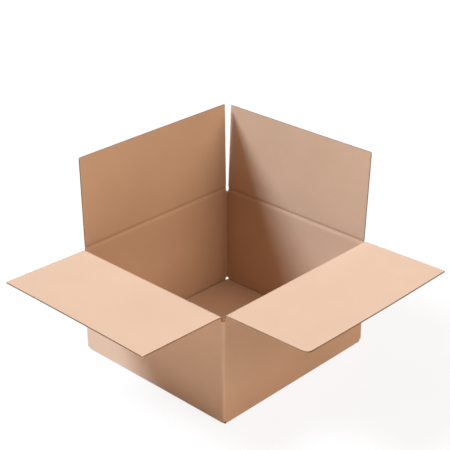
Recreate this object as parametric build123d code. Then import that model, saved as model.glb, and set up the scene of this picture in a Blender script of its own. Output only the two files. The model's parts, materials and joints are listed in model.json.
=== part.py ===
from build123d import *
import math
import os

# Open corrugated box of the regular slotted kind, folded and glued from one blank.
# The origin is the middle of its underside, with X along the length, Y along the width
# and +Z up. The front wall faces -Y and the left wall faces -X.

# Driving dimensions in millimetres: the clear inside of the closed box, and its board
INNER_LENGTH = 440.0        # between the left and right walls
INNER_WIDTH = 410.0         # between the front and back walls
INNER_HEIGHT = 240.0        # from the floor to the closed inner flaps
BOARD = 3.0                 # single-wall corrugated board

# Folds, and the slots that part one flap from the next
FOLD_RADIUS = 0.5           # inside radius of a folded score
SLOT_WIDTH = 10.0           # cut away between two neighbouring flaps
TOP_SLOT_RUN = 8.0          # how far each top slot runs past the inner flaps' score
BOTTOM_SLOT_RUN = 5.0       # how far each bottom slot runs up from the inner flaps' underside
SEAM_GAP = 1.0              # left where two outer flaps meet

# The scores that the top flaps turn on: the rule crushes the board from the inside,
# and leaves a thin bead of it near the outside face
SCORE_INSET = 0.8           # depth of the fold line below the outside face
SCORE_BEAD = 0.5            # radius of the crushed board left at that line
SCORE_BEVEL = 45.0          # degrees, slope of the crushed board on the inside
SCORE_RELIEF = 12.0         # degrees, slope of the board on the outside
TURN_CLEARANCE = 0.2        # between a flap's bead and the wall that carries it
STACK_CLEARANCE = 0.3       # between an inner flap and the outer flap closed over it

# Glue lap: it continues the back wall, and is stuck inside the left wall
LAP_WIDTH = 35.0            # along the left wall
LAP_ROOT = 3.0              # full-height strip of it beside the fold
LAP_RELIEF = 4.0            # kept between the lap's ends and the slots
LAP_TAPER = 8.0             # how much each end of the lap slopes over its width

# Rest pose: how far each flap is folded outwards from upright, in degrees
FRONT_OPEN = 88.6
LEFT_OPEN = 88.7
BACK_OPEN = 1.1
RIGHT_OPEN = 2.5

# Sizes that follow from those
OUTER_LENGTH = INNER_LENGTH + 2 * BOARD
OUTER_WIDTH = INNER_WIDTH + 2 * BOARD
BEND = FOLD_RADIUS + BOARD
FLOOR = 2 * BOARD
SCORE_BACK = BOARD - SCORE_INSET
INNER_SCORE = FLOOR + INNER_HEIGHT + SCORE_BACK
OUTER_SCORE = INNER_SCORE + BOARD + STACK_CLEARANCE
FLAP_INSET = (SLOT_WIDTH + BOARD) / 2
FLAP_REACH = (OUTER_WIDTH - SEAM_GAP) / 2
SLOT_TOP = INNER_SCORE - TOP_SLOT_RUN
SLOT_BOTTOM = BOARD + BOTTOM_SLOT_RUN
BEVEL_RUN = SCORE_BACK / math.tan(math.radians(SCORE_BEVEL))
RELIEF_RUN = SCORE_INSET / math.tan(math.radians(SCORE_RELIEF))

UP = Vector(0, 0, 1)
LEFT = Vector(-1, 0, 0)
RIGHT = Vector(1, 0, 0)
FRONT = Vector(0, -1, 0)
BACK = Vector(0, 1, 0)


def wall_plane(outward):
    """Section plane of a wall: x runs inwards from its outside face, and y runs up."""
    half = OUTER_LENGTH / 2 if outward.X else OUTER_WIDTH / 2
    inward = -outward
    return Plane(origin=outward * half, x_dir=inward, z_dir=inward.cross(UP))


def flap_run(outward):
    """Length of a flap between the two slots beside it."""
    along = OUTER_WIDTH if outward.X else OUTER_LENGTH
    return along - 2 * FLAP_INSET


def wall_section(foot, score):
    """A wall from its score down, round the bottom fold and out along its bottom flap."""
    tip = score - TURN_CLEARANCE
    with BuildSketch() as section:
        with BuildLine():
            Polyline(
                (0, foot + BEND),
                (0, tip - RELIEF_RUN),
                (SCORE_INSET, tip),
                (BOARD, tip - BEVEL_RUN),
                (BOARD, foot + BEND),
            )
            RadiusArc((BOARD, foot + BEND), (BEND, foot + BOARD), -FOLD_RADIUS)
            Polyline(
                (BEND, foot + BOARD),
                (FLAP_REACH, foot + BOARD),
                (FLAP_REACH, foot),
                (BEND, foot),
            )
            RadiusArc((BEND, foot), (0, foot + BEND), BEND)
        make_face()
        with Locations((SCORE_INSET, score)):
            Circle(SCORE_BEAD + TURN_CLEARANCE, mode=Mode.SUBTRACT)
    return section.sketch


def flap_section(score):
    """A top flap standing straight up, from the bead at its score to its free edge."""
    edge = score + FLAP_REACH - SCORE_INSET
    with BuildSketch() as section:
        with BuildLine():
            Polyline(
                (SCORE_INSET, score),
                (0, score + RELIEF_RUN),
                (0, edge),
                (BOARD, edge),
                (BOARD, score + BEVEL_RUN),
                close=True,
            )
        make_face()
        with Locations((SCORE_INSET, score)):
            Circle(SCORE_BEAD)
    return section.sketch


def panel(outward, section):
    """Runs a wall's or flap's section along its wall, from slot to slot."""
    return extrude(wall_plane(outward) * section, amount=flap_run(outward) / 2, both=True)


def sleeve():
    """The four walls between the slots' ends, with three folded corners and the glued one."""
    joint = BOARD + BEND
    corner_x = -OUTER_LENGTH / 2
    corner_y = OUTER_WIDTH / 2
    plan = RectangleRounded(OUTER_LENGTH, OUTER_WIDTH, BEND)
    plan -= RectangleRounded(INNER_LENGTH, INNER_WIDTH, FOLD_RADIUS)
    by_corner = (Align.MIN, Align.MAX)
    plan -= Pos(corner_x, corner_y) * Rectangle(joint, joint, align=by_corner)
    plan += Pos(corner_x, corner_y) * Rectangle(BOARD, joint, align=by_corner)
    fold = Circle(BEND) - Circle(FOLD_RADIUS)
    fold &= Rectangle(BEND, BEND, align=(Align.MAX, Align.MIN))
    plan += Pos(corner_x + joint, corner_y - BEND) * fold
    plan += Pos(corner_x + BOARD, corner_y - BEND) * Rectangle(BOARD, LAP_ROOT, align=by_corner)
    return Pos(0, 0, SLOT_BOTTOM) * extrude(plan, amount=SLOT_TOP - SLOT_BOTTOM)


def glue_lap():
    """The lap that goes on from the back wall's fold, with its ends cut on the slope."""
    root = OUTER_WIDTH / 2 - BEND - LAP_ROOT
    tip = OUTER_WIDTH / 2 - BEND - LAP_WIDTH
    low = SLOT_BOTTOM + LAP_RELIEF
    high = SLOT_TOP - LAP_RELIEF
    outline = Polygon(
        (root, low),
        (root, high),
        (tip, high - LAP_TAPER),
        (tip, low + LAP_TAPER),
        align=None,
    )
    glued_face = Plane(origin=(-INNER_LENGTH / 2, 0, 0), x_dir=(0, 1, 0), z_dir=(1, 0, 0))
    return extrude(glued_face * outline, amount=BOARD)


def carton():
    """Walls, bottom flaps and lap, which are one folded and glued piece of board."""
    inner_wall = wall_section(BOARD, INNER_SCORE)
    outer_wall = wall_section(0, OUTER_SCORE)
    body = sleeve() + glue_lap()
    body += panel(LEFT, inner_wall)
    body += panel(RIGHT, inner_wall)
    body += panel(FRONT, outer_wall)
    body += panel(BACK, outer_wall)
    return body


def top_flap(outward, score, opened):
    """A top flap, folded outwards from upright by its rest angle."""
    plane = wall_plane(outward)
    turning_line = Axis(plane.from_local_coords((SCORE_INSET, score, 0)), plane.z_dir)
    return panel(outward, flap_section(score)).rotate(turning_line, opened)


NODES = {
    "carton": carton(),
    "front_flap": top_flap(FRONT, OUTER_SCORE, FRONT_OPEN),
    "back_flap": top_flap(BACK, OUTER_SCORE, BACK_OPEN),
    "left_flap": top_flap(LEFT, INNER_SCORE, LEFT_OPEN),
    "right_flap": top_flap(RIGHT, INNER_SCORE, RIGHT_OPEN),
}

os.makedirs("parts", exist_ok=True)
for name, solid in NODES.items():
    export_step(solid, f"parts/{name}.step")
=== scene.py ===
import json
import math
from typing import NamedTuple

import bmesh
import bpy
import numpy as np
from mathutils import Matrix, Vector


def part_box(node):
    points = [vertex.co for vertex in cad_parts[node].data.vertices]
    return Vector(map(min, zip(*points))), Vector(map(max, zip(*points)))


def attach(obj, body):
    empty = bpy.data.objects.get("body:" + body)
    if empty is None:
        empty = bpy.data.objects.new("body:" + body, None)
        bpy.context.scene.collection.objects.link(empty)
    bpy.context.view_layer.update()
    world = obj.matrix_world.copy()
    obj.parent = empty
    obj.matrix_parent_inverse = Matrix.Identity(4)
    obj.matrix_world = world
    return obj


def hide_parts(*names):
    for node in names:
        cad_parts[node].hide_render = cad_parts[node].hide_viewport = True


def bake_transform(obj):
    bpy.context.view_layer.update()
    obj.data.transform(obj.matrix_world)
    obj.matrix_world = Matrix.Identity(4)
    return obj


# Looks of an open corrugated box. Every piece is made as the flat blank it was cut from,
# with s along the blank, t up it and u the depth below its outside face, and then folded
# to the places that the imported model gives. Lengths are in metres.

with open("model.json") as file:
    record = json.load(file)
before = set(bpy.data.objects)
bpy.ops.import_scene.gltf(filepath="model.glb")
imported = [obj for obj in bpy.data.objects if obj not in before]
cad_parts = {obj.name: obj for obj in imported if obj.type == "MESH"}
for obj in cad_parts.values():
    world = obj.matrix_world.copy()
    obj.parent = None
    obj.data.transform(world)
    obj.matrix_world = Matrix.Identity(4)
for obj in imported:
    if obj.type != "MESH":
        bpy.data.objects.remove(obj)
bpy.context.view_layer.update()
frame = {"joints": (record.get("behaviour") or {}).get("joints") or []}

MM = 0.001

# The board, its folds and its slots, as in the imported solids
BOARD = 3.0 * MM
BEND = 3.5 * MM                 # outside radius of a fold
FLAP_INSET = 6.5 * MM           # from an outside wall plane to the slot's edge
SLOT_TOP = 240.2 * MM           # where the top slots end
SLOT_BOTTOM = 8.0 * MM          # where the bottom slots end
FLAP_REACH = 207.5 * MM         # from an outside wall plane to a flap's free edge
SCORE_INSET = 0.8 * MM          # depth of the line that a flap turns on
LAP_WIDTH = 35.0 * MM
LAP_ROOT = 3.0 * MM             # strip of the lap beside its fold, as tall as the wall
LAP_RELIEF = 4.0 * MM           # by which the lap's ends then step back
LAP_TAPER = 8.0 * MM            # by which they slope over the lap's width
LAP_EASE = 1.5 * MM             # over which they step back

# How far each flap is folded outwards from upright at rest, in degrees
REST_OPEN = {"left_flap": 88.7, "front_flap": 88.6, "right_flap": 2.5, "back_flap": 1.1}

# The fluted sheet between the liners, which shows on every cut edge
LINER = 0.32 * MM
MEDIUM = 0.26 * MM              # thickness of the fluted sheet
FLUTE_PITCH = 6.4 * MM
FLUTE_CLEAR = 0.03 * MM         # slit left where the fluted sheet meets a liner
FLUTE_LEAN = 0.30               # how far the waves lean over, in radians
TUNNEL_DEPTH = 7.0 * MM         # how far the open flutes are modelled from a free edge
GROOVE_DEPTH = 1.6 * MM         # of the gap between the liners on edges cut along the flutes

# The crushed board at a top score
SCORE_DEPTH = 1.6 * MM          # how far the rule has pressed the inside face in
SCORE_ABOVE = 7.0 * MM          # over which the flap's inside face drops into the score
SCORE_POWER = 1.2               # how sharply it drops
SCORE_BELOW = 4.5 * MM          # how fast the wall's inside face recovers below it
SWELL_DEPTH = 1.0 * MM          # how far the wall then swells inwards
SWELL_FALL = 25.0 * MM          # and how slowly that settles
RELIEF_DEPTH = 0.45 * MM        # hollow beside the score on the outside face
RELIEF_WIDTH = 5.0 * MM
RELIEF_POWER = 1.5
BEND_HALF = 3.0 * MM            # half the height over which a flap bends

# The other folds, which have a hollow on the inside
CREASE_DEPTH = 1.7 * MM
CREASE_WIDTH = 3.0 * MM

# Marks along the folds and scores: painted shade along each score, a paler strip along each upright
# fold that is partly wear and partly painted highlight, and a painted highlight below each score
PAINTED_SHADE_PLACE = 1.4 * MM        # middle of the painted shade line along the score on the inside, above the score
PAINTED_SHADE_WIDTH = 3.2 * MM        # half that line
OUTSIDE_PAINTED_SHADE_WIDTH = 1.5 * MM        # half the fainter painted shade line along the score on the outside
OUTSIDE_PAINTED_SHADE_SHARE = 0.45            # of the painted shade line on the inside
PAINTED_HIGHLIGHT_PLACE = 5.0 * MM         # middle of the painted highlight band on the swelling below the score
PAINTED_HIGHLIGHT_WIDTH = 4.0 * MM         # half that band
PAINTED_HIGHLIGHT_SHARE = 0.6              # of the paleness that an upright fold's strip has
FOLD_WEAR_AND_HIGHLIGHT_WIDTH = 2.6 * MM           # half the strip along an upright fold where the outside is paler, partly from wear and partly by painted highlight

# Bow of the walls and warp of the flaps, outwards from true. A wall goes by its flap's name
WALL_BOW = {
    "left_flap": 0.7 * MM,
    "front_flap": 0.8 * MM,
    "right_flap": -0.7 * MM,
    "back_flap": -0.6 * MM,
}
FLAP_BOW = {
    "left_flap": -1.0 * MM,
    "front_flap": 2.0 * MM,
    "right_flap": -0.8 * MM,
    "back_flap": 0.8 * MM,
}

# Radius to which wear has blunted the first corner of a flap's free edge
BLUNTED = {"front_flap": 13.0 * MM}

# Columns of the grids, along the blank
FINE_STEP = FLUTE_PITCH / 8     # of a top flap
COARSE_STEP = FLUTE_PITCH / 2   # of the walls
LAP_STEP = FLUTE_PITCH / 4      # of the glue lap
ARC_STEPS = 6                   # round a fold
FOLD_GAP = 1.0 * MM             # least distance from a panel's last column to the fold beside it
PANEL_SLACK = 1.0 * MM          # by which a column past a panel's side still belongs to it
EDGE_END = 3                    # points left whole at each end of a cut edge
EDGE_LEAST = 2 * EDGE_END + 3   # fewest points along an edge that shows open cells

# Rows of the grids, up the blank
SCORE_ROWS = np.array([         # heights above a top score
    -6.0, -4.6, -3.6, -2.8, -2.1, -1.5, -1.0, -0.5, 0.0, 0.5, 1.0, 1.5, 2.1, 2.8, 3.6, 4.6,
    6.0, 8.0, 11.0, 15.0, 21.0, 32.0, 50.0, 75.0, 100.0, 125.0, 150.0, 172.0, 188.0,
]) * MM
EDGE_ROWS = np.array([13.0, 10.0, 7.5, 5.0, 3.0, 1.5, 0.0]) * MM    # distances to a free edge
SEAM_ROWS = np.array([0.0, 0.7, 1.4]) * MM      # heights above the top slots' ends
BETWEEN_SLOTS = np.array([      # heights of the walls
    11.0, 14.0, 18.0, 25.0, 40.0, 60.0, 90.0, 120.0, 150.0, 180.0, 205.0, 220.0, 226.0, 230.0,
    233.0, 235.5, 237.5, 239.0,
]) * MM
WALL_ROWS = np.concatenate([[SLOT_BOTTOM], BETWEEN_SLOTS, [SLOT_TOP]])
FLOOR_ROWS = np.array([         # distances of a bottom flap from its fold
    1.5, 4.0, 8.0, 16.0, 40.0, 80.0, 120.0, 160.0, 185.0,
]) * MM
SHARP_ANGLE = 28.0              # degrees, edges sharper than this keep a crisp line

# Where each wall stands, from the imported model
carton_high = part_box("carton")[1]
HALF_LENGTH = carton_high.x
HALF_WIDTH = carton_high.y
SCORE_HEIGHT = {joint["child"]: joint["pos_m"][2] for joint in frame["joints"]}
UP = np.array([0.0, 0.0, 1.0])
SIDES = {
    "left_flap": np.array([-1.0, 0.0, 0.0]),
    "front_flap": np.array([0.0, -1.0, 0.0]),
    "right_flap": np.array([1.0, 0.0, 0.0]),
    "back_flap": np.array([0.0, 1.0, 0.0]),
}

# Heights of the bottom flaps' undersides, and the length of blank that a fold takes
FOOT = {"left_flap": BOARD, "front_flap": 0.0, "right_flap": BOARD, "back_flap": 0.0}
ARC = math.pi / 2 * (BEND - BOARD / 2)


class Grain(NamedTuple):
    """A noise over the blank: repeats a metre along s, t and u, its detail and its roughness."""
    scale: tuple
    detail: float
    rough: float


# Textures of the paper
CLOUD = Grain((9.0, 11.0, 9.0), 3.0, 0.55)
FIBRE = Grain((420.0, 2600.0, 400.0), 3.0, 0.65)
FLECK = Grain((900.0, 1500.0, 900.0), 2.0, 0.5)
FIBRE_SHARE = 0.55              # how far fibres and flecks darken the paper
FLECK_SHARE = 0.35
WEAR_AND_HIGHLIGHT_SHARES = (0.2, 0.8)        # least and most that a marked strip changes the paper
PAINTED_SHADE_SHARES = (0.5, 0.8)
LINER_ROUGHNESS = (0.62, 0.82)
LINER_SPECULAR = 0.35
LINER_SHEEN = 0.6
SHEEN_ROUGHNESS = 0.6
CUT_ROUGHNESS = (0.80, 0.95)
FLUTE_RELIEF = (0.10, 0.25 * MM)    # strength and height of the relief
FIBRE_RELIEF = (0.25, 0.08 * MM)
TORN_RELIEF = (0.4, 0.1 * MM)

# Colours of the paper, linear, some of them along a noise
KRAFT_CLOUD = [(0.30, (0.552, 0.337, 0.191)), (0.70, (0.585, 0.360, 0.208))]
KRAFT_FIBRE = [(0.25, (0.88, 0.86, 0.83)), (0.75, (1.0, 1.0, 1.0))]
KRAFT_FLECK = [(0.28, (0.72, 0.66, 0.60)), (0.36, (1.0, 1.0, 1.0))]
# paler tone for the strips along the upright folds, partly wear and partly painted highlight, and
# for the painted highlight below the scores
KRAFT_WEAR_AND_PAINTED_HIGHLIGHT = (0.74, 0.50, 0.31)
# painted shade along the scores
KRAFT_PAINTED_SHADE = (0.40, 0.19, 0.075)
KRAFT_CUT = [(0.25, (0.33, 0.19, 0.105)), (0.75, (0.46, 0.275, 0.16))]


class Lamp(NamedTuple):
    """A soft distant lamp: which way its light goes, its strength, spread in degrees and colour."""
    way: tuple
    strength: float
    spread: float
    colour: tuple


# Light: a weak warm sky, and lamps from the back left, from the front and from above
SKY_LIGHT = (0.10, 0.065, 0.040)
SKY_SEEN = (1.0, 1.0, 1.0)          # what the camera sees of it
LAMPS = {
    "key": Lamp((1.0, -1.17, -1.7), 4.02, 21.0, (0.92, 1.06, 1.24)),
    "fill": Lamp((-0.31, 1.0, -0.78), 1.62, 40.0, (1.02, 0.89, 0.79)),
    "top": Lamp((0.0, 0.0, -1.0), 0.45, 40.0, (1.0, 0.78, 0.60)),
}

# The pale floor
FLOOR_HALF = 30.0                   # half its side
FLOOR_SEEN = (0.12, 0.12, 0.12)     # its tone to the camera, besides its glow
FLOOR_GLOW = 0.87
FLOOR_BOUNCE = (0.88, 0.77, 0.67)   # its tone to the light that it throws back

# Camera at the photograph's viewing angle
VIEW_AZIMUTH = math.radians(-46.27)
VIEW_RISE = math.radians(26.28)
VIEW_DISTANCE = 2.6037
VIEW_TARGET = Vector((-0.00076, 0.00076, 0.29904))
VIEW_LENS = 98.05                   # millimetres, as is the sensor
SENSOR = 36.0


def smoothstep(x):
    """Eases from 0 to 1 as x goes from 0 to 1."""
    x = np.clip(x, 0.0, 1.0)
    return x * x * (3.0 - 2.0 * x)


def half_of(side):
    """Distance from the middle to that wall's outside face."""
    return HALF_LENGTH if side[0] else HALF_WIDTH


def across_of(side):
    """Half the length of that wall, between the outside faces beside it."""
    return HALF_WIDTH if side[0] else HALF_LENGTH


def run_of(side):
    """Direction in which s grows along a wall."""
    return np.cross(UP, side)


def stretch(start, end, step):
    """Evenly spaced places from start to end, about a step apart."""
    return np.linspace(start, end, max(1, round((end - start) / step)) + 1)


def flute_wave(s):
    """Depth of the fluted sheet's middle at s along the blank."""
    swing = (BOARD - 2 * LINER - MEDIUM) / 2 - FLUTE_CLEAR
    phase = 2 * math.pi * s / FLUTE_PITCH
    return BOARD / 2 + swing * np.sin(phase + FLUTE_LEAN * np.sin(phase))


def spans(mask):
    """First and last grid line of each unbroken stretch in a row of cells."""
    steps = np.diff(np.concatenate([[0], mask.astype(int), [0]]))
    return zip(np.nonzero(steps > 0)[0], np.nonzero(steps < 0)[0])


class Board:
    """One piece of board: a grid of the blank with an outside and an inside face and cut edges."""

    def __init__(self, s, t, held, near, far, place):
        # held says which cells of the grid are board, near and far are the depths of its
        # two faces, and place folds points of the blank
        self.s, self.t = s, t
        self.held = held
        self.near, self.far = near, far
        self.place = place
        self.points, self.blank, self.polygons = [], [], []
        self.count = 0
        self.outer = self.layer(s, t, near)
        self.inner = self.layer(s, t, far)
        i, j = np.nonzero(held)
        for face in (self.outer, self.inner):
            corners = [face[i, j], face[i + 1, j], face[i + 1, j + 1], face[i, j + 1]]
            self.polygons += np.stack(corners, 1).tolist()
        self.paper_faces = len(self.polygons)

    def layer(self, s, t, u):
        """Adds an array of points and returns their numbers in the same shape."""
        shape = np.shape(u)
        s, t, u = (np.broadcast_to(x, shape).ravel() for x in (s, t, u))
        self.points.append(self.place(s, t, u))
        self.blank.append(np.stack([s, t, u], axis=1))
        numbers = np.arange(self.count, self.count + len(u)).reshape(shape)
        self.count += len(u)
        return numbers

    def edge_runs(self):
        """Every straight run of cut edge: its grid points, and the way into the board."""
        held = np.pad(self.held, 1)
        columns, rows = self.held.shape
        for i in range(columns + 1):
            before, after = held[i, 1:-1], held[i + 1, 1:-1]
            for way, alone in ((-1, before & ~after), (1, after & ~before)):
                for first, last in spans(alone):
                    along = np.arange(first, last + 1)
                    yield np.full(len(along), i), along, (way, 0)
        for j in range(rows + 1):
            below, above = held[1:-1, j], held[1:-1, j + 1]
            for way, alone in ((-1, below & ~above), (1, above & ~below)):
                for first, last in spans(alone):
                    along = np.arange(first, last + 1)
                    yield along, np.full(len(along), j), (0, way)

    def strip(self, a, b):
        """Quads between two rows of points."""
        self.polygons += np.stack([a[:-1], b[:-1], b[1:], a[1:]], 1).tolist()

    def polygon(self, numbers):
        """One polygon through points given by their numbers."""
        self.polygons.append([int(number) for number in numbers])

    def cut_edge(self, i, j, inward, style):
        """Closes one run of edge. The open cells between the liners are sunk into the board."""
        top, low = self.outer[i, j], self.inner[i, j]
        if style == "plain" or len(i) < EDGE_LEAST:
            self.strip(top, low)
            return
        cut = slice(EDGE_END, len(i) - EDGE_END)
        s, t = self.s[i, j][cut], self.t[i, j][cut]
        near, far = self.near[i, j][cut], self.far[i, j][cut]
        thick = (far - near) / BOARD
        lip = LINER * thick
        cells = [(near + lip, far - lip)]
        depth = GROOVE_DEPTH * smoothstep(thick)
        if style == "flutes":
            wave = near + flute_wave(s) * thick
            half = MEDIUM * thick / 2
            cells = [(near + lip, wave - half), (wave + half, far - lip)]
            depth = TUNNEL_DEPTH * np.ones(len(s))
        deep_s = s + inward[0] * depth
        deep_t = t + inward[1] * depth
        lines = [top[cut]]
        for cell in cells:
            rim = [self.layer(s, t, u) for u in cell]
            bed = [self.layer(deep_s, deep_t, u) for u in cell]
            lines += rim
            self.strip(rim[0], bed[0])
            self.strip(bed[0], bed[1])
            self.strip(bed[1], rim[1])
            for end in (0, -1):
                self.polygon(row[end] for row in (rim[0], bed[0], bed[1], rim[1]))
        lines.append(low[cut])
        for k in range(0, len(lines), 2):
            self.strip(lines[k], lines[k + 1])
        # the whole stretches beside the open cells
        first, last = slice(0, EDGE_END), slice(len(i) - EDGE_END, len(i))
        for whole, end, beside in ((first, 0, -1), (last, -1, 0)):
            self.strip(top[whole], low[whole])
            ends = [line[end] for line in lines]
            self.polygon(ends + [low[whole][beside], top[whole][beside]])

    def build(self, name, styles):
        """Closes the edges and makes the Blender object. styles names each run's kind of edge."""
        for i, j, inward in self.edge_runs():
            self.cut_edge(i, j, inward, styles(i, j, inward))
        mesh = bpy.data.meshes.new(name)
        mesh.from_pydata(np.concatenate(self.points), [], self.polygons)
        blank = np.concatenate(self.blank).astype(np.float32)
        places = mesh.attributes.new("blank", "FLOAT_VECTOR", "POINT")
        places.data.foreach_set("vector", blank.ravel())
        for mark, share in fold_wear_and_painted_light(*blank.T).items():
            mesh.attributes.new(mark, "FLOAT", "POINT").data.foreach_set("value", share)
        is_cut = np.arange(len(self.polygons)) >= self.paper_faces
        mesh.polygons.foreach_set("material_index", is_cut.astype(np.int32))
        form = bmesh.new()
        form.from_mesh(mesh)
        unused = [vertex for vertex in form.verts if not vertex.link_faces]
        bmesh.ops.delete(form, geom=unused, context="VERTS")
        bmesh.ops.recalc_face_normals(form, faces=form.faces)
        form.to_mesh(mesh)
        form.free()
        mesh.shade_smooth()
        mesh.set_sharp_from_angle(angle=math.radians(SHARP_ANGLE))
        piece = bpy.data.objects.new(name, mesh)
        bpy.context.scene.collection.objects.link(piece)
        return piece


class Part(NamedTuple):
    """One part of the blank's way round the box: a wall, the fold after it, or the lap."""
    start: float            # s where it begins
    kind: str               # wall, fold or lap
    origin: np.ndarray      # first point of a wall's outside face, or a fold's middle
    side: np.ndarray        # outward direction where it begins
    run: np.ndarray         # direction in which s grows there
    name: str


class Plan:
    """The blank's way round the box seen from above: four walls, their folds and the lap."""

    def __init__(self):
        self.parts = []
        self.middle = {}
        self.wall_end = {}
        s = 0.0
        names = list(SIDES)
        for name, side in SIDES.items():
            run = run_of(side)
            across = across_of(side)
            first = -across if name == names[0] else -(across - BEND)
            last = across - BEND - (BOARD if name == names[-1] else 0.0)
            origin = side * half_of(side)
            self.parts.append(Part(s, "wall", origin + run * first, side, run, name))
            self.middle[name] = s - first
            s += last - first
            self.wall_end[name] = s
            turning = origin + run * last - side * BEND
            self.parts.append(Part(s, "fold", turning, side, run, name))
            s += ARC
        side = SIDES["left_flap"]
        run = run_of(side)
        start = side * (HALF_LENGTH - BOARD) - run * (HALF_WIDTH - BEND)
        self.lap_start = s
        self.parts.append(Part(s, "lap", start, side, run, "lap"))
        self.length = s + LAP_WIDTH
        self.starts = np.array([part.start for part in self.parts])
        self.folds = np.array([part.start + ARC / 2 for part in self.parts if part.kind == "fold"])

    def from_fold(self, s):
        """Distance along the blank to the nearest upright fold."""
        return np.abs(np.asarray(s)[..., None] - self.folds).min(axis=-1)

    def score_at(self, s):
        """Height of the top score of the wall that s lies on."""
        middles = np.array([self.middle[name] for name in SIDES])
        halves = np.array([across_of(side) for side in SIDES.values()])
        nearest = (np.abs(s[:, None] - middles) / halves).argmin(axis=1)
        return np.array([SCORE_HEIGHT[name] for name in SIDES])[nearest]

    def place(self, s, u):
        """Point on the plan, and the wall's outward direction there."""
        points = np.zeros((len(s), 3))
        outward = np.zeros((len(s), 3))
        which = np.searchsorted(self.starts, s, side="right") - 1
        which = np.clip(which, 0, len(self.parts) - 1)
        for k, part in enumerate(self.parts):
            mine = which == k
            gone = (s[mine] - part.start)[:, None]
            deep = u[mine][:, None]
            if part.kind == "fold":
                turn = gone / ARC * math.pi / 2
                way = part.side * np.cos(turn) + part.run * np.sin(turn)
                points[mine] = part.origin + way * (BEND - deep)
                outward[mine] = way
            else:
                points[mine] = part.origin + part.run * gone - part.side * deep
                outward[mine] = part.side
        return points, outward


plan = Plan()


def fold_wear_and_painted_light(s, t, u):
    """How far points of the blank are painted pale, along the upright folds partly for wear and
    partly as painted highlight and below the scores as painted highlight, and how far painted shade
    darkens them along the scores.
    """
    outside = u < BOARD / 2
    h = t - plan.score_at(s)
    # paler strip on the outside along each upright fold, partly wear and partly painted highlight
    fold = np.exp(-(plan.from_fold(s) / FOLD_WEAR_AND_HIGHLIGHT_WIDTH) ** 2)
    # painted highlight on the inside, on the swelling below the score
    painted_highlight_band = PAINTED_HIGHLIGHT_SHARE * np.exp(-((h + PAINTED_HIGHLIGHT_PLACE) / PAINTED_HIGHLIGHT_WIDTH) ** 2)
    # painted shade along the score: a line on the inside, above the score, and a fainter one on the
    # outside
    line = np.exp(-((h - PAINTED_SHADE_PLACE) / PAINTED_SHADE_WIDTH) ** 2)
    faint_painted_shade = OUTSIDE_PAINTED_SHADE_SHARE * np.exp(-(h / OUTSIDE_PAINTED_SHADE_WIDTH) ** 2)
    marks = {"worn": np.where(outside, fold, painted_highlight_band), "pressed": np.where(outside, faint_painted_shade, line)}
    return {mark: share.astype(np.float32) for mark, share in marks.items()}


def share_along(name, s):
    """How far s lies along a wall, from 0 at one slot to 1 at the other."""
    span = 2 * (across_of(SIDES[name]) - FLAP_INSET)
    return np.clip((s - plan.middle[name]) / span + 0.5, 0.0, 1.0)


def wall_bow(name, s, z):
    """How far a wall stands out from true: nothing at its folds, most in the middle."""
    over = share_along(name, s)
    up = np.clip(z / SCORE_HEIGHT[name], 0.0, 1.0)
    return WALL_BOW[name] * np.sin(math.pi * over) ** 2 * np.sin(math.pi * up) ** 2


def flap_warp(name, s, h):
    """How far a flap stands out from flat, at h above its score."""
    over = share_along(name, s)
    up = np.clip(h / (FLAP_REACH - SCORE_INSET), 0.0, 1.0)
    return FLAP_BOW[name] * np.sin(math.pi * over) * up ** 2


def blunted(name, s, h):
    """Rounds off the worn corner of a flap, and leaves the rest where it is."""
    if name not in BLUNTED:
        return s, h
    radius = BLUNTED[name]
    centre_s = plan.middle[name] - (across_of(SIDES[name]) - FLAP_INSET) + radius
    centre_h = FLAP_REACH - SCORE_INSET - radius
    back = centre_s - s
    up = h - centre_h
    corner = (back > 0) & (up > 0)
    # a square round the corner's centre is pulled in to a circle
    square = np.maximum(back, up)
    share = np.where(corner, square / np.hypot(back, np.where(corner, up, 1.0)), 1.0)
    return np.where(corner, centre_s - back * share, s), np.where(corner, centre_h + up * share, h)


def fold_weight(h):
    """Share of a flap's turn that the board has made at h above its score."""
    return smoothstep((h + BEND_HALF) / (2 * BEND_HALF))


def flap_place(name):
    """Folds points of a top flap, and of the strip of wall below its score."""
    side = SIDES[name]
    run = run_of(side)
    score = SCORE_HEIGHT[name]

    def place(s, t, u):
        s, h = blunted(name, s, t - score)
        deep = u - SCORE_INSET - wall_bow(name, s, t) - flap_warp(name, s, h)
        turn = math.radians(REST_OPEN[name]) * fold_weight(h)
        inward = deep * np.cos(turn) - h * np.sin(turn)
        upward = deep * np.sin(turn) + h * np.cos(turn)
        out = side * (half_of(side) - SCORE_INSET - inward)[:, None]
        flat = run * (s - plan.middle[name])[:, None]
        return out + flat + UP * (score + upward)[:, None]

    return place


def score_faces(h):
    """Depths of the outside and inside faces at h above a score."""
    away = np.abs(h)
    near = RELIEF_DEPTH * np.clip(1.0 - away / RELIEF_WIDTH, 0.0, 1.0) ** RELIEF_POWER
    above = np.clip(1.0 - away / SCORE_ABOVE, 0.0, 1.0) ** SCORE_POWER
    swell = SWELL_DEPTH * np.exp(-away / SWELL_FALL)
    below = (SCORE_DEPTH + SWELL_DEPTH) * np.exp(-away / SCORE_BELOW) - swell
    return near, BOARD - np.where(h > 0, SCORE_DEPTH * above, below)


def crease(distance):
    """Depth of the hollow on the inside of a fold, at a distance from its middle."""
    return CREASE_DEPTH * np.exp(-(distance / CREASE_WIDTH) ** 2)


def edge_styles(free_row):
    """Kinds of cut edge: flutes show along the row of free edges, and grooves along the sides."""

    def styles(i, j, inward):
        if inward[0]:
            return "groove"
        return "flutes" if j[0] == free_row else "plain"

    return styles


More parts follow.
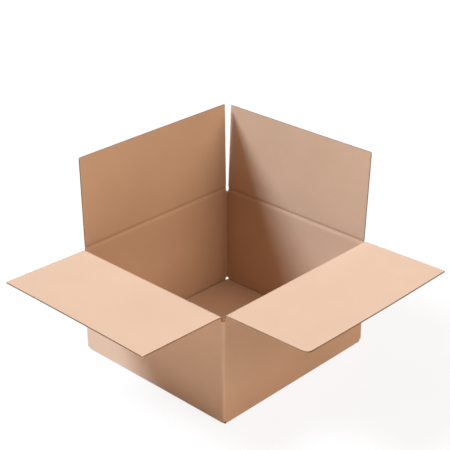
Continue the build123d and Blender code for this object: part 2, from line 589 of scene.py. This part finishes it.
def top_flap(name):
    """A top flap with the strip of its wall above the slots' ends, as one bent piece of board."""
    score = SCORE_HEIGHT[name]
    edge = score + FLAP_REACH - SCORE_INSET
    half = across_of(SIDES[name]) - FLAP_INSET
    columns = plan.middle[name] + stretch(-half, half, FINE_STEP)
    rows = np.concatenate([SLOT_TOP + SEAM_ROWS, score + SCORE_ROWS, edge - EDGE_ROWS])
    s, t = np.meshgrid(columns, rows, indexing="ij")
    near, far = score_faces(t - score)
    held = np.ones((len(columns) - 1, len(rows) - 1), bool)
    board = Board(s, t, held, near, far, flap_place(name))
    return board.build(name + "_board", edge_styles(free_row=len(rows) - 1))


def carton_place(s, t, u):
    """Folds points of the walls, the bottom flaps and the lap."""
    bow = np.zeros(len(s))
    foot = np.zeros(len(s))
    for name, side in SIDES.items():
        half = across_of(side) - FLAP_INSET
        mine = np.abs(s - plan.middle[name]) <= half + PANEL_SLACK
        bow[mine] = wall_bow(name, s[mine], t[mine])
        foot[mine] = FOOT[name]
    points, outward = plan.place(s, u - bow)
    # the lap's ends are cut back and sloped
    lap = s - plan.lap_start - LAP_ROOT
    slope = np.clip(lap / (LAP_WIDTH - LAP_ROOT), 0.0, 1.0)
    trim = LAP_RELIEF * smoothstep(lap / LAP_EASE) + LAP_TAPER * slope
    tall = SLOT_TOP - SLOT_BOTTOM
    points[:, 2] = SLOT_BOTTOM + trim + (t - SLOT_BOTTOM) * (1.0 - 2 * trim / tall)
    # below the wall the board goes round the bottom fold and in under the box
    below = foot + BEND - t
    turned = (below > 0) & (t < SLOT_BOTTOM)
    turn = np.clip(below / ARC, 0.0, 1.0) * math.pi / 2
    gone = np.clip(below - ARC, 0.0, None)
    radius = BEND - u
    inward = BEND - radius * np.cos(turn) + gone
    height = foot + BEND - radius * np.sin(turn)
    flat, _ = plan.place(s, np.zeros(len(s)))
    folded = flat - outward * inward[:, None] + UP * height[:, None]
    points[turned] = folded[turned]
    return points


def carton_columns():
    """Places along the whole blank, and the wall whose flap each stands over, if any."""
    columns, panel = [], []
    for part in plan.parts:
        if part.kind == "fold":
            new = part.start + ARC * np.arange(1, ARC_STEPS) / ARC_STEPS
            owner = [""] * len(new)
        elif part.kind == "lap":
            lap = stretch(part.start + LAP_ROOT, plan.length, LAP_STEP)
            new = np.concatenate([[part.start], lap])
            owner = [""] * len(new)
        else:
            half = across_of(part.side) - FLAP_INSET
            middle = plan.middle[part.name]
            end = plan.wall_end[part.name]
            inside = stretch(middle - half, min(middle + half, end - FOLD_GAP), COARSE_STEP)
            new = np.concatenate([[part.start], inside, [end]])
            owner = [""] + [part.name] * len(inside) + [""]
        columns.append(new)
        panel += owner
    return np.concatenate(columns), np.array(panel)


def carton():
    """The walls, the lap and the glued bottom flaps: one folded piece of board."""
    columns, panel = carton_columns()
    arc_rows = ARC * np.arange(ARC_STEPS, -1, -1) / ARC_STEPS
    floor_rows = np.concatenate([FLAP_REACH - BEND - EDGE_ROWS[::-1], FLOOR_ROWS[::-1]])
    below = np.concatenate([ARC + floor_rows, arc_rows])
    bottom = len(below)
    rows = bottom + len(WALL_ROWS)
    s = np.repeat(columns[:, None], rows, axis=1)
    t = np.zeros((len(columns), rows))
    near = np.zeros_like(t)
    far = np.full_like(t, BOARD)
    far -= crease(plan.from_fold(s))
    for k, name in enumerate(panel):
        foot = FOOT[name] if name else 0.0
        t[k] = np.concatenate([foot + BEND - below, WALL_ROWS])
        far[k, :bottom] -= crease(below - ARC / 2)
        if name:
            far[k, bottom:] += score_faces(WALL_ROWS - SCORE_HEIGHT[name])[1] - BOARD
    # between two panels the bottom flaps are slotted apart
    held = np.ones((len(columns) - 1, rows - 1), bool)
    same = (panel[:-1] == panel[1:]) & (panel[:-1] != "")
    held[~same, :bottom] = False
    board = Board(s, t, held, near, far, carton_place)
    return board.build("carton_board", edge_styles(free_row=0))


class Paper:
    """A paper material under way, with shorthands for its texture nodes."""

    def __init__(self, name):
        self.material = bpy.data.materials.new(name)
        self.material.use_nodes = True
        self.nodes = self.material.node_tree.nodes
        self.links = self.material.node_tree.links
        self.shader = self.nodes["Principled BSDF"]
        self.blank = self.attribute("blank").outputs["Vector"]

    def attribute(self, name):
        """Node that reads one of the mesh's attributes."""
        node = self.nodes.new("ShaderNodeAttribute")
        node.attribute_name = name
        return node

    def noise(self, grain):
        """Noise over the flat blank."""
        scaled = self.nodes.new("ShaderNodeVectorMath")
        scaled.operation = "MULTIPLY"
        scaled.inputs[1].default_value = grain.scale
        self.links.new(self.blank, scaled.inputs[0])
        texture = self.nodes.new("ShaderNodeTexNoise")
        texture.inputs["Scale"].default_value = 1.0
        texture.inputs["Detail"].default_value = grain.detail
        texture.inputs["Roughness"].default_value = grain.rough
        self.links.new(scaled.outputs["Vector"], texture.inputs["Vector"])
        return texture.outputs["Fac"]

    def ramp(self, value, stops):
        """Colours along a value."""
        node = self.nodes.new("ShaderNodeValToRGB")
        for element, (at, colour) in zip(node.color_ramp.elements, stops):
            element.position = at
            element.color = (*colour, 1.0)
        self.links.new(value, node.inputs["Fac"])
        return node.outputs["Color"]

    def multiply(self, a, b, share):
        """Colour a darkened by colour b, by a share of it."""
        node = self.nodes.new("ShaderNodeMix")
        node.data_type = "RGBA"
        node.blend_type = "MULTIPLY"
        node.inputs["Factor"].default_value = share
        self.links.new(a, node.inputs["A"])
        self.links.new(b, node.inputs["B"])
        return node.outputs["Result"]

    def toward(self, a, colour, factor):
        """Colour a moved towards a plain colour."""
        node = self.nodes.new("ShaderNodeMix")
        node.data_type = "RGBA"
        self.links.new(factor, node.inputs["Factor"])
        self.links.new(a, node.inputs["A"])
        node.inputs["B"].default_value = (*colour, 1.0)
        return node.outputs["Result"]

    def spread(self, value, low, high):
        """A value between 0 and 1, moved to lie between low and high."""
        node = self.nodes.new("ShaderNodeMapRange")
        node.inputs["To Min"].default_value = low
        node.inputs["To Max"].default_value = high
        self.links.new(value, node.inputs["Value"])
        return node.outputs["Result"]

    def strip(self, name, uneven, shares):
        """A strip of the board that an attribute marks, broken up by a noise."""
        node = self.nodes.new("ShaderNodeMath")
        node.operation = "MULTIPLY"
        self.links.new(self.attribute(name).outputs["Fac"], node.inputs[0])
        self.links.new(self.spread(uneven, *shares), node.inputs[1])
        return node.outputs["Value"]

    def bump(self, height, strength, distance, below=None):
        """Surface relief from a height, on top of an earlier one."""
        node = self.nodes.new("ShaderNodeBump")
        node.inputs["Strength"].default_value = strength
        node.inputs["Distance"].default_value = distance
        self.links.new(height, node.inputs["Height"])
        if below is not None:
            self.links.new(below, node.inputs["Normal"])
        return node.outputs["Normal"]

    def flutes(self):
        """Height of the flutes that show faintly through the liner."""
        split = self.nodes.new("ShaderNodeSeparateXYZ")
        self.links.new(self.blank, split.inputs["Vector"])
        phase = self.nodes.new("ShaderNodeMath")
        phase.operation = "MULTIPLY"
        phase.inputs[1].default_value = 2 * math.pi / FLUTE_PITCH
        self.links.new(split.outputs["X"], phase.inputs[0])
        wave = self.nodes.new("ShaderNodeMath")
        wave.operation = "SINE"
        self.links.new(phase.outputs["Value"], wave.inputs[0])
        return wave.outputs["Value"]

    def set(self, name, value):
        """Links a texture to one of the shader's inputs."""
        self.links.new(value, self.shader.inputs[name])


def kraft_liner():
    """Kraft liner: warm brown paper with fibres, soft clouding and a trace of the flutes below."""
    paper = Paper("kraft_liner")
    shader = paper.shader
    shader.inputs["Specular IOR Level"].default_value = LINER_SPECULAR
    shader.inputs["Sheen Weight"].default_value = LINER_SHEEN
    shader.inputs["Sheen Roughness"].default_value = SHEEN_ROUGHNESS
    cloud = paper.noise(CLOUD)
    fibre = paper.noise(FIBRE)
    fleck = paper.noise(FLECK)
    colour = paper.ramp(cloud, KRAFT_CLOUD)
    colour = paper.multiply(colour, paper.ramp(fibre, KRAFT_FIBRE), FIBRE_SHARE)
    colour = paper.multiply(colour, paper.ramp(fleck, KRAFT_FLECK), FLECK_SHARE)
    # paler along the upright folds, partly wear and partly painted highlight, and a painted
    # highlight below the scores
    colour = paper.toward(colour, KRAFT_WEAR_AND_PAINTED_HIGHLIGHT, paper.strip("worn", fibre, WEAR_AND_HIGHLIGHT_SHARES))
    # painted shade along the scores
    colour = paper.toward(colour, KRAFT_PAINTED_SHADE, paper.strip("pressed", fibre, PAINTED_SHADE_SHARES))
    paper.set("Base Color", colour)
    paper.set("Roughness", paper.spread(fibre, *LINER_ROUGHNESS))
    relief = paper.bump(paper.flutes(), *FLUTE_RELIEF)
    paper.set("Normal", paper.bump(fibre, *FIBRE_RELIEF, below=relief))
    return paper.material


def kraft_edge():
    """Cut board: darker and rougher than the liner, with torn fibres."""
    paper = Paper("kraft_edge")
    fibre = paper.noise(FIBRE)
    paper.set("Base Color", paper.ramp(fibre, KRAFT_CUT))
    paper.set("Roughness", paper.spread(fibre, *CUT_ROUGHNESS))
    paper.set("Normal", paper.bump(fibre, *TORN_RELIEF))
    return paper.material


def dress(piece, materials, node):
    """Gives a piece its materials, and hides the imported part of its node."""
    for material in materials:
        piece.data.materials.append(material)
    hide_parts(node)
    return piece


def seen_directly(nodes, links):
    """One for rays from the camera, and for mirror and glass rays, and zero for the rest."""
    path = nodes.new("ShaderNodeLightPath")
    total = path.outputs["Is Camera Ray"]
    for name in ("Is Glossy Ray", "Is Transmission Ray"):
        both = nodes.new("ShaderNodeMath")
        both.operation = "MAXIMUM"
        links.new(total, both.inputs[0])
        links.new(path.outputs[name], both.inputs[1])
        total = both.outputs["Value"]
    return total


def two_tones(nodes, links, seen, unseen_tone, seen_tone):
    """One colour for the rays that count as seen, and another for the rest."""
    tone = nodes.new("ShaderNodeMix")
    tone.data_type = "RGBA"
    tone.inputs["A"].default_value = (*unseen_tone, 1.0)
    tone.inputs["B"].default_value = (*seen_tone, 1.0)
    links.new(seen, tone.inputs["Factor"])
    return tone.outputs["Result"]


def floor():
    """Pale floor that keeps the shadow, and is white to the camera where it is fully lit."""
    mesh = bpy.data.meshes.new("floor")
    signs = ((-1, -1), (1, -1), (1, 1), (-1, 1))
    corners = [(x * FLOOR_HALF, y * FLOOR_HALF, 0) for x, y in signs]
    mesh.from_pydata(corners, [], [(0, 1, 2, 3)])
    plane = bpy.data.objects.new("floor", mesh)
    bpy.context.scene.collection.objects.link(plane)
    material = bpy.data.materials.new("floor_paint")
    material.use_nodes = True
    nodes, links = material.node_tree.nodes, material.node_tree.links
    nodes.clear()
    seen = seen_directly(nodes, links)
    paint = nodes.new("ShaderNodeBsdfDiffuse")
    links.new(two_tones(nodes, links, seen, FLOOR_BOUNCE, FLOOR_SEEN), paint.inputs["Color"])
    bright = nodes.new("ShaderNodeMath")
    bright.operation = "MULTIPLY"
    bright.inputs[1].default_value = FLOOR_GLOW
    links.new(seen, bright.inputs[0])
    glow = nodes.new("ShaderNodeEmission")
    links.new(bright.outputs["Value"], glow.inputs["Strength"])
    both = nodes.new("ShaderNodeAddShader")
    links.new(paint.outputs["BSDF"], both.inputs[0])
    links.new(glow.outputs["Emission"], both.inputs[1])
    output = nodes.new("ShaderNodeOutputMaterial")
    links.new(both.outputs["Shader"], output.inputs["Surface"])
    mesh.materials.append(material)


def sky():
    """Even warm light from all round, with a white background."""
    world = bpy.data.worlds.new("studio")
    bpy.context.scene.world = world
    world.use_nodes = True
    nodes, links = world.node_tree.nodes, world.node_tree.links
    tone = two_tones(nodes, links, seen_directly(nodes, links), SKY_LIGHT, SKY_SEEN)
    links.new(tone, nodes["Background"].inputs["Color"])


def hang(name, lamp):
    """Puts a lamp in the scene."""
    data = bpy.data.lights.new(name, "SUN")
    data.energy = lamp.strength
    data.angle = math.radians(lamp.spread)
    data.color = lamp.colour
    made = bpy.data.objects.new(name, data)
    made.rotation_mode = "QUATERNION"
    made.rotation_quaternion = Vector(lamp.way).to_track_quat("-Z", "Y")
    bpy.context.scene.collection.objects.link(made)


def aim_camera():
    """Camera that looks at the box from the photograph's side."""
    camera = bpy.data.objects.new("camera", bpy.data.cameras.new("camera"))
    bpy.context.scene.collection.objects.link(camera)
    back = Vector((
        math.sin(VIEW_AZIMUTH) * math.cos(VIEW_RISE),
        -math.cos(VIEW_AZIMUTH) * math.cos(VIEW_RISE),
        math.sin(VIEW_RISE),
    ))
    camera.location = VIEW_TARGET + back * VIEW_DISTANCE
    camera.rotation_mode = "QUATERNION"
    camera.rotation_quaternion = (-back).to_track_quat("-Z", "Y")
    camera.data.sensor_width = SENSOR
    camera.data.lens = VIEW_LENS
    bpy.context.scene.camera = camera


# The box. Each flap bends from the wall to its own place across a short strip at its score
board_materials = [kraft_liner(), kraft_edge()]
walls = dress(carton(), board_materials, "carton")
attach(walls, "carton")
for flap, side in SIDES.items():
    piece = dress(top_flap(flap), board_materials, flap)
    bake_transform(piece)

# What it stands on, what lights it and what looks at it
floor()
sky()
for name, lamp in LAMPS.items():
    hang(name, lamp)
aim_camera()
bpy.context.scene.view_settings.view_transform = "Standard"

bpy.context.view_layer.update()
